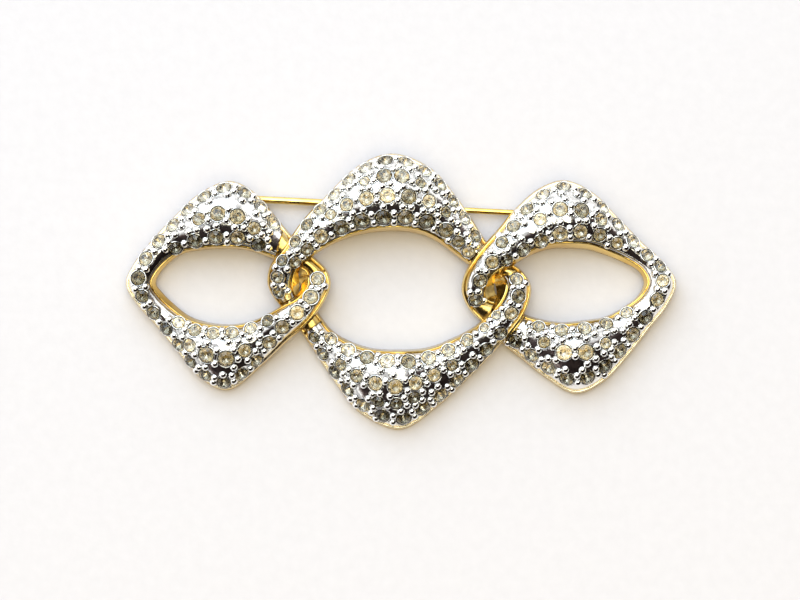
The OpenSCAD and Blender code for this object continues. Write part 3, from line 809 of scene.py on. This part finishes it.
def beads(band):
    """Places of the beads: between stones first, then at stones that have too few."""
    centres, radii = girdles(band.seats())
    grid, axes, wide = fine_front(band)
    gap = np.linalg.norm(grid[:, None, :] - centres[None], axis=2) - radii[None]
    clear = gap.min(axis=1)
    ok = (clear > BEAD_R - BEAD_OVER[1]) & (clear < BEAD_R - BEAD_OVER[0])
    grid, axes, gap = grid[ok], axes[ok], gap[ok]
    enough = np.where(wide[ok] > LOBE_W, BEADS_ENOUGH_WIDE, BEADS_ENOUGH)
    holds = gap < BEAD_R + BEAD_HOLD
    touching = holds.sum(axis=1)
    score = touching - BEAD_UNEVEN * np.abs(np.sort(gap, axis=1)[:, :2] - BEAD_R).sum(axis=1)
    order = np.argsort(-score, kind="stable")
    chosen = []
    held = np.zeros(len(centres), int)
    for shared, apart in ((True, BEAD_APART), (False, BEAD_APART_ALONE)):
        for k in order:
            if (touching[k] > 1) != shared:
                continue
            if not shared and held[holds[k]].min() >= enough[k]:
                continue
            if all(((grid[k] - grid[c]) ** 2).sum() > apart ** 2 for c in chosen):
                chosen.append(k)
                held[holds[k]] += 1
    return [(grid[k], axes[k]) for k in chosen]


def frame_of(axis):
    """Two vectors that are square to an axis and to each other."""
    u = np.cross([0, 1, 0] if abs(axis[1]) < 0.9 else [1, 0, 0], axis)
    u /= np.linalg.norm(u)
    return u, np.cross(axis, u)


def lathe(profile, count):
    """Points and faces of a surface turned about Z from (radius, height) pairs."""
    pts, faces = [], []
    for r, z in profile:
        for k in range(count):
            pts.append((r * cos(360 * k / count), r * sin(360 * k / count), z))
    for i in range(len(profile) - 1):
        for k in range(count):
            a, b = i * count + k, i * count + (k + 1) % count
            faces.append([a, b, b + count, a + count])
    return np.array(pts), faces


def settings_mesh(name, band, held):
    """The lips and beads of a link."""
    points, faces, slots, tarnish = [], [], [], []

    def add(pts, fs, dark, slot):
        first = sum(len(p) for p in points)
        points.append(pts)
        faces.extend([[first + k for k in f] for f in fs])
        slots.extend([slot] * len(fs))
        tarnish.extend(np.repeat(dark, len(pts) // len(dark)))
    seats = band.seats()
    centres, radii = girdles(seats)
    ring, ring_faces = lathe([(1, z) for _, z, _ in LIP], LIP_SIDES)
    wide = np.repeat([r for r, _, _ in LIP], LIP_SIDES)
    outside = np.maximum(wide - LIP_INSIDE, 0)
    for k, (centre, u, v, out, width) in enumerate(seats):
        around = ring[:, :1] * u + ring[:, 1:2] * v
        girdle = centre + around * width / 2
        gap = np.linalg.norm(girdle[:, None, :] - centres[None], axis=2) - radii
        gap[:, k] = LIP_ROOM
        room = np.clip(gap.min(axis=1) / LIP_ROOM, LIP_LEAST, 1)
        reach = width / 2 + np.minimum(wide, LIP_INSIDE) + outside * room
        add(centre + around * reach[:, None] + ring[:, 2:] * out, ring_faces,
            [t for _, _, t in LIP], 0)
    ball, ball_faces = lathe([(BEAD_R * cos(a), BEAD_R * sin(a)) for a, _ in BALL], BEAD_SIDES)
    ball_faces.append([(len(BALL) - 1) * BEAD_SIDES + k for k in range(BEAD_SIDES)])
    for place, out in held:
        u, v = frame_of(out)
        add(place - out * BEAD_SINK + ball[:, :1] * u + ball[:, 1:2] * v + ball[:, 2:] * out,
            ball_faces, [t for _, t in BALL], 1)
    obj = piece(name, np.concatenate(points), faces, [SILVER, BEAD], slots, sharp=60,
                tarnish=tarnish)


for side, band in BANDS.items():
    held = beads(band)
    link_mesh(f"link_{side}_dressed", band, f"link_{side}", held)
    settings_mesh(f"settings_{side}", band, held)
    stones_mesh(f"stones_{side}_cut", band, f"stones_{side}", TONE_SEEDS[side])


# Hinge, hook and pin

EDGE = 0.07           # rounding of the ears' and the hook's edges
EDGE_OVER = 50        # least turn between two faces, in degrees, for the edge to be rounded
# Solder plates, measured from the rivet or the hook: x from and to, y from and to.
HINGE_PLATES = [(-1.2, 1.7, -1.7, -0.7), (-1.2, 1.7, 0.5, 1.1)]
HOOK_PLATE = (-1.5, 1.5, -1.3, 1.5)
PLATE_IN = 0.25       # how far a solder plate reaches into its link
EAR_STEP = 0.4        # by how much one ear is taller and the other lower, as the hinge is canted
RIVET_SIDES = 24
RIVET_IN = 0.1        # how far the rivet goes into each ear
RIVET_HEAD = [(0.34, -0.02), (0.33, 0.01), (0.26, 0.035), (0.14, 0.045), (0.0, 0.05)]
HOOK_START, HOOK_STEP = 100, 8    # where the hook's arc leaves its plate, and the step along it
STEM_SIDES, KNUCKLE_SIDES = 32, 48
STEM_IN = 0.1         # how far the stem goes into the knuckle
BORE_EDGE, KNUCKLE_EDGE = 0.05, 0.1
# The pin's point: radius, and distance from its tip.
POINT_CURVE = [(SLIM_R, POINT_L), (SLIM_R * 0.72, POINT_L * 0.6), (POINT_R * 1.8, 0.3),
               (POINT_R, 0.05), (0.0, 0.0)]


def turned(axis, degrees):
    """The matrix of a turn about an axis."""
    c, s = cos(degrees), sin(degrees)
    if axis == "x":
        return np.array([[1, 0, 0], [0, c, -s], [0, s, c]])
    if axis == "y":
        return np.array([[c, 0, s], [0, 1, 0], [-s, 0, c]])
    return np.array([[c, -s, 0], [s, c, 0], [0, 0, 1]])


AT_HINGE = np.array([HINGE_X, HINGE_Y, -STEM_DROP])
HINGE_TURN = turned("z", STEM_SLOPE) @ turned("x", -CANT)


def at_hinge(points):
    """From the hinge's frame, X along the closed stem and Y along the rivet."""
    return np.asarray(points, float) @ HINGE_TURN.T + AT_HINGE


def at_back(points, x, y):
    """From a frame on the backs of the links, X along the stem, at x and y."""
    return np.asarray(points, float) @ turned("z", STEM_SLOPE).T + np.array([x, y, 0])


def prism(outline, low, high, bevel):
    """Points and faces of an outline in XY between two heights, with rounded edges."""
    bm = bmesh.new()
    base = [bm.verts.new((x, y, low)) for x, y in outline]
    face = bm.faces.new(base)
    top = bmesh.ops.extrude_face_region(bm, geom=[face])
    moved = [v for v in top["geom"] if isinstance(v, bmesh.types.BMVert)]
    bmesh.ops.translate(bm, verts=moved, vec=(0, 0, high - low))
    bmesh.ops.recalc_face_normals(bm, faces=bm.faces)
    ends = [e for e in bm.edges
            if len(e.link_faces) == 2 and e.calc_face_angle() > math.radians(EDGE_OVER)]
    bmesh.ops.bevel(bm, geom=ends, offset=bevel, segments=2, affect="EDGES", profile=0.6)
    # The bevel's order of points and faces changes from run to run, so both are sorted.
    order = sorted(bm.verts, key=lambda v: v.co[:])
    index = {v: k for k, v in enumerate(order)}
    pts = np.array([v.co[:] for v in order])
    fs = []
    for f in bm.faces:
        corners = [index[v] for v in f.verts]
        lowest = corners.index(min(corners))
        fs.append(corners[lowest:] + corners[:lowest])
    bm.free()
    return pts, sorted(fs)


def solder_plate(sides, x, y, bevel):
    """Points and faces of a plate on the back of a link."""
    x0, x1, y0, y1 = sides
    outline = [(x0, y0), (x1, y0), (x1, y1), (x0, y1)]
    plate, faces = prism(outline, -PLATE_T, PLATE_IN, bevel)
    return at_back(plate, x, y), faces


def joined(parts):
    """Points and faces of several parts as those of one."""
    points, faces = [], []
    first = 0
    for pts, fs in parts:
        points.append(np.asarray(pts))
        faces += [[first + k for k in f] for f in fs]
        first += len(pts)
    return np.concatenate(points), faces


def hinge_mesh():
    """Two ears, the rivet through them with its heads, and their solder plates."""
    parts = []
    under = [(HINGE_R * cos(a), HINGE_R * sin(a)) for a in range(180, 361, 12)]
    for side in (-1, 1):
        tall = STEM_DROP - side * EAR_STEP
        ear, fs = prism(under + [(HINGE_R, tall), (-HINGE_R, tall)], -EAR_W / 2, EAR_W / 2, EDGE)
        ear = ear @ turned("x", 90).T
        ear[:, 1] += side * (EAR_AT + EAR_W / 2)
        parts.append((at_hinge(ear), fs))
        head, fs = lathe(RIVET_HEAD, RIVET_SIDES)
        head = head @ turned("x", -90 * side).T
        head[:, 1] += side * (EAR_AT + EAR_W)
        parts.append((at_hinge(head), fs))
    reach = EAR_AT + RIVET_IN
    rivet, fs = lathe([(RIVET_R, -reach), (RIVET_R, reach)], RIVET_SIDES)
    parts.append((at_hinge(rivet @ turned("x", 90).T), fs))
    parts += [solder_plate(sides, HINGE_X, HINGE_Y, bevel=0.08) for sides in HINGE_PLATES]
    points, faces = joined(parts)
    obj = piece("hinge_block", points, faces, [GOLD])


def hook_mesh():
    """The C-shaped hook and its solder plate."""
    outer_r = HOOK_R + HOOK_WALL
    arc = list(range(HOOK_END, HOOK_START + 1, HOOK_STEP))
    outline = [(outer_r * cos(a), outer_r * sin(a)) for a in arc]
    outline += [(HOOK_R * cos(a), HOOK_R * sin(a)) for a in reversed(arc)]
    hook, hook_faces = prism(outline, -HOOK_W / 2, HOOK_W / 2, EDGE)
    hook = hook @ (turned("z", 90) @ turned("x", 90)).T
    hook[:, 2] -= STEM_DROP
    hook_x = HINGE_X + CATCH_AT * cos(STEM_SLOPE)
    hook_y = HINGE_Y + CATCH_AT * sin(STEM_SLOPE)
    points, faces = joined([(at_back(hook, hook_x, hook_y), hook_faces),
                            solder_plate(HOOK_PLATE, hook_x, hook_y, bevel=0.1)])
    obj = piece("catch_hook", points, faces, [GOLD])


def pin_mesh():
    """The tapered pin with the knuckle that turns on the rivet."""
    start, even_at = HINGE_R - STEM_IN, THICK_L + TAPER_L
    wire, wire_faces = lathe(
        [(0.0, start), (STEM_R, start), (STEM_R, THICK_L), (TIP_R, even_at),
         (TIP_R, even_at + EVEN_L)] + [(r, STEM_L - before) for r, before in POINT_CURVE],
        STEM_SIDES)
    wire = wire @ turned("y", 90).T
    bore, half = RIVET_R + RIVET_GAP, KNUCKLE_W / 2
    end = [(bore, half - BORE_EDGE), (bore + BORE_EDGE, half),
           (HINGE_R - KNUCKLE_EDGE, half), (HINGE_R, half - KNUCKLE_EDGE)]
    other_end = [(r, -z) for r, z in end]
    knuckle, knuckle_faces = lathe(other_end + end[::-1] + other_end[:1], KNUCKLE_SIDES)
    knuckle = knuckle @ turned("x", 90).T
    points, faces = joined([(at_hinge(wire), wire_faces), (at_hinge(knuckle), knuckle_faces)])
    obj = piece("pin_dressed", points, faces, [WIRE], body="pin")
    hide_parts("pin_stem")


hinge_mesh()
hook_mesh()
pin_mesh()


# Floor, light and camera, in metres

FLOOR_HALF = 2.0
FLOOR_STOPS = [(0.3, (0.575, 0.575, 0.63)), (0.7, (0.595, 0.595, 0.65))]
# Directions of the studio's dark side, and its tones by nearness to them.
DARK_WAYS = [(0.05, -0.77, 0.63), (0.48, -0.68, 0.52), (0.76, -0.48, 0.40), (0.84, -0.42, 0.30)]
DARK_STOPS = [(0.0, (0.97, 0.985, 1.0)), (0.68, (0.92, 0.93, 0.94)), (0.74, (0.30, 0.27, 0.26)),
              (0.78, (0.10, 0.07, 0.065)), (0.83, (0.035, 0.026, 0.026)),
              (1.0, (0.018, 0.013, 0.012))]
EDGE_PATCHES, EDGE_SWAY = 3.5, 0.2    # scale and size of the unevenness of its edge
GREY_PATCHES = 5.0    # scale of the soft grey patches in the white
GREY_STOPS = [(0.36, (0.42, 0.42, 0.43)), (0.56, (1.0, 1.0, 1.0))]
STUDIO_STRENGTH = 1.5
# Area lights: place, size, power, colour, and whether the metal shows them.
LIGHTS = {
    "key": ((-0.2, 0.5, 0.6), (0.9, 0.7), 5.5, (0.715, 0.86, 1.0), True),
    "fill": ((0.05, -0.28, 0.66), (0.8, 0.5), 3.0, (1.0, 0.76, 0.36), False),
    "over": ((0.0, 0.05, 0.8), (0.5, 0.4), 2.3, (1.0, 0.98, 0.80), True),
}


def floor():
    mat, nodes, links, shader = new_material("pale_paper")
    grain = noise(nodes, links, scale=700, detail=4)
    links.new(ramp(nodes, links, grain, FLOOR_STOPS), shader.inputs["Base Color"])
    shader.inputs["Roughness"].default_value = 0.85
    bump(nodes, links, shader, grain, strength=0.15, distance=0.0002)
    mesh = bpy.data.meshes.new("floor")
    r = FLOOR_HALF
    mesh.from_pydata([(-r, -r, 0), (r, -r, 0), (r, r, 0), (-r, r, 0)], [], [[0, 1, 2, 3]])
    mesh.materials.append(mat)
    obj = bpy.data.objects.new("floor", mesh)
    bpy.context.scene.collection.objects.link(obj)


def aim(obj, target):
    """Turns a light or camera, which looks along its own -Z, towards a point."""
    away = np.array(obj.location) - np.array(target)
    z = away / np.linalg.norm(away)
    x = np.cross([0, 1, 0] if abs(z[1]) < 0.9 else [0, 0, 1], z)
    x /= np.linalg.norm(x)
    y = np.cross(z, x)
    obj.rotation_euler = Matrix(np.stack([x, y, z], axis=1).tolist()).to_euler()


def area_light(name, place, size, power, colour, mirrored):
    lamp = bpy.data.lights.new(name, "AREA")
    lamp.shape = "RECTANGLE"
    lamp.size, lamp.size_y = size
    lamp.energy = power
    lamp.color = colour
    obj = bpy.data.objects.new(name, lamp)
    obj.location = place
    obj.visible_glossy = mirrored
    aim(obj, (0, 0, 0))
    bpy.context.scene.collection.objects.link(obj)


def studio():
    """A white studio with one dark side, towards the front, which the polished metal shows,
    and soft grey patches in the white."""
    sky = bpy.data.worlds.new("studio")
    bpy.context.scene.world = sky
    sky.use_nodes = True
    nodes, links = sky.node_tree.nodes, sky.node_tree.links
    place = nodes.new("ShaderNodeTexCoord")

    def combined(operation, a, b):
        node = nodes.new("ShaderNodeMath")
        node.operation = operation
        feed(links, a, node.inputs[0])
        feed(links, b, node.inputs[1])
        return node.outputs["Value"]

    def nearness(way):
        dot = nodes.new("ShaderNodeVectorMath")
        dot.operation = "DOT_PRODUCT"
        dot.inputs[1].default_value = np.array(way) / np.linalg.norm(way)
        links.new(place.outputs["Generated"], dot.inputs[0])
        return dot.outputs["Value"]

    def patches(scale):
        return noise(nodes, links, scale, detail=1.5, coordinates="Generated")
    dark = nearness(DARK_WAYS[0])
    for way in DARK_WAYS[1:]:
        dark = combined("MAXIMUM", dark, nearness(way))
    dark = combined("ADD", dark, combined("MULTIPLY", patches(EDGE_PATCHES), EDGE_SWAY))
    shade = ramp(nodes, links, dark, DARK_STOPS)
    grey = ramp(nodes, links, patches(GREY_PATCHES), GREY_STOPS)
    colour = mixed(nodes, links, 1.0, shade, grey, blend="MULTIPLY")
    links.new(colour, nodes["Background"].inputs["Color"])
    nodes["Background"].inputs["Strength"].default_value = STUDIO_STRENGTH


floor()
studio()
for name, settings in LIGHTS.items():
    area_light(name, *settings)

PIXELS_PER_MM = 7.64
PHOTO_W, PHOTO_H = 800, 600
ORIGIN_PIXEL = (401, 287)     # where the photograph shows the middle link's centre
VIEW_AWAY = 330.0             # camera's distance in millimetres
VIEW_HEIGHT = 0.8             # height over the backs at which the scale holds
SENSOR_W = 36.0

camera_data = bpy.data.cameras.new("camera")
camera = bpy.data.objects.new("camera", camera_data)
bpy.context.scene.collection.objects.link(camera)
bpy.context.scene.camera = camera
look_x = (PHOTO_W / 2 - ORIGIN_PIXEL[0]) / PIXELS_PER_MM
look_y = (ORIGIN_PIXEL[1] - PHOTO_H / 2) / PIXELS_PER_MM
camera.location = laid([look_x, look_y, VIEW_HEIGHT + VIEW_AWAY])
aim(camera, laid([look_x, look_y, VIEW_HEIGHT]))
camera_data.sensor_width = SENSOR_W
camera_data.lens = SENSOR_W * VIEW_AWAY / (PHOTO_W / PIXELS_PER_MM)
camera_data.clip_start = 0.01
camera_data.clip_end = 20

bpy.context.scene.view_settings.view_transform = "Standard"
